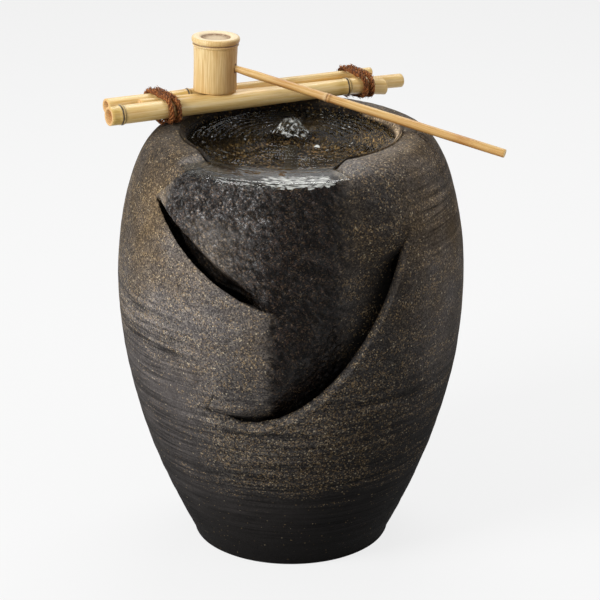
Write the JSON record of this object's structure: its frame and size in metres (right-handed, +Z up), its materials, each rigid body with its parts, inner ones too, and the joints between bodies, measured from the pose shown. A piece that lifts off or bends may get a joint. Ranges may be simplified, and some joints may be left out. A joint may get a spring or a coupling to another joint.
{
  "type": "water fountain",
  "caption": "Round stoneware jar fountain with a spilling basin on top, falling water slits down its front, and a bamboo ladle on lashed canes across the rim.",
  "frame": {"origin": "centre of the jar's foot, on the ground", "axes": "+Z up along the jar's axis, -Y out of the front that the picture shows, +X to the right of the picture"},
  "size_m": [0.4254, 0.3826, 0.5441],
  "materials": {
    "stoneware": "unglazed stoneware, grey brown with ochre specks, dark and glossy where it is wet",
    "stoneware_panel": "wet stoneware, dark olive grey, glossy",
    "stoneware_basin": "wet stoneware, nearly black, with throwing rings",
    "grommet_rubber": "moulded rubber, satin",
    "nozzle_plastic": "moulded, satin",
    "hose_vinyl": "soft translucent hose, smooth",
    "pump_plastic": "moulded, satin",
    "gland_rubber": "moulded rubber, matt",
    "core_steel": "stacked laminations, lacquered",
    "coil_copper": "enamelled copper winding",
    "shaft_ceramic": "ground, smooth",
    "bush_plastic": "moulded, smooth",
    "magnet_ferrite": "sintered ferrite, dull",
    "impeller_plastic": "moulded, smooth",
    "seal_rubber": "moulded ring, satin",
    "dial_plastic": "moulded, glossy",
    "foot_rubber": "moulded suction cups, satin",
    "bamboo_front": "dried bamboo, pale straw yellow, waxy sheen",
    "bamboo_middle": "dried bamboo, pale straw yellow, waxy sheen",
    "bamboo_back": "dried bamboo, straw yellow with a green cast at its node",
    "palm_rope": "braided palm fibre, rust brown, rough",
    "bamboo_cup": "dried bamboo with upright fibres, satin",
    "bamboo_handle": "smoked bamboo, orange tan, satin",
    "bamboo_peg": "split bamboo, dull"
  },
  "bodies": {
    "vessel": {"jar_body": "stoneware", "basin_bowl": "stoneware_basin", "fall_panel": "stoneware_panel", "basin_grommet": "grommet_rubber", "jet_nozzle": "nozzle_plastic", "riser_hose": "hose_vinyl", "pump_housing": "pump_plastic", "pump_rear_cap": "pump_plastic", "cord_gland": "gland_rubber", "stator_core": "core_steel", "stator_coil": "coil_copper", "rotor_shaft": "shaft_ceramic", "shaft_bush_rear": "bush_plastic", "shaft_bush_front": "bush_plastic", "cover_seal": "seal_rubber", "pump_cover": "pump_plastic", "suction_feet": "foot_rubber"},
    "rotor": {"rotor_magnet": "magnet_ferrite", "impeller": "impeller_plastic"},
    "strainer": {"inlet_strainer": "pump_plastic"},
    "dial": {"flow_dial": "dial_plastic"},
    "rack": {"cane_front": "bamboo_front", "cane_middle": "bamboo_middle", "cane_back": "bamboo_back", "lashing_left": "palm_rope", "lashing_right": "palm_rope"},
    "ladle": {"ladle_cup": "bamboo_cup", "ladle_handle": "bamboo_handle", "ladle_peg": "bamboo_peg"}
  },
  "joints": [
    {"name": "rotor_spin", "type": "hinge", "parent": "vessel", "child": "rotor", "pos_m": [0, 0, 0.036], "axis": [0, 1, 0], "continuous": true},
    {"name": "strainer_pull", "type": "slide", "parent": "vessel", "child": "strainer", "axis": [0, -1, 0], "range_m": [0, 0.03]},
    {"name": "flow_dial_turn", "type": "hinge", "parent": "strainer", "child": "dial", "pos_m": [0, -0.0333, 0.036], "axis": [0, -1, 0], "range_deg": [0, 90]},
    {"name": "rack_lift", "type": "slide", "parent": "vessel", "child": "rack", "axis": [0, 0, 1], "range_m": [0, 0.25]},
    {"name": "ladle_lift", "type": "slide", "parent": "rack", "child": "ladle", "axis": [0, 0, 1], "range_m": [0, 0.25]}
  ]
}
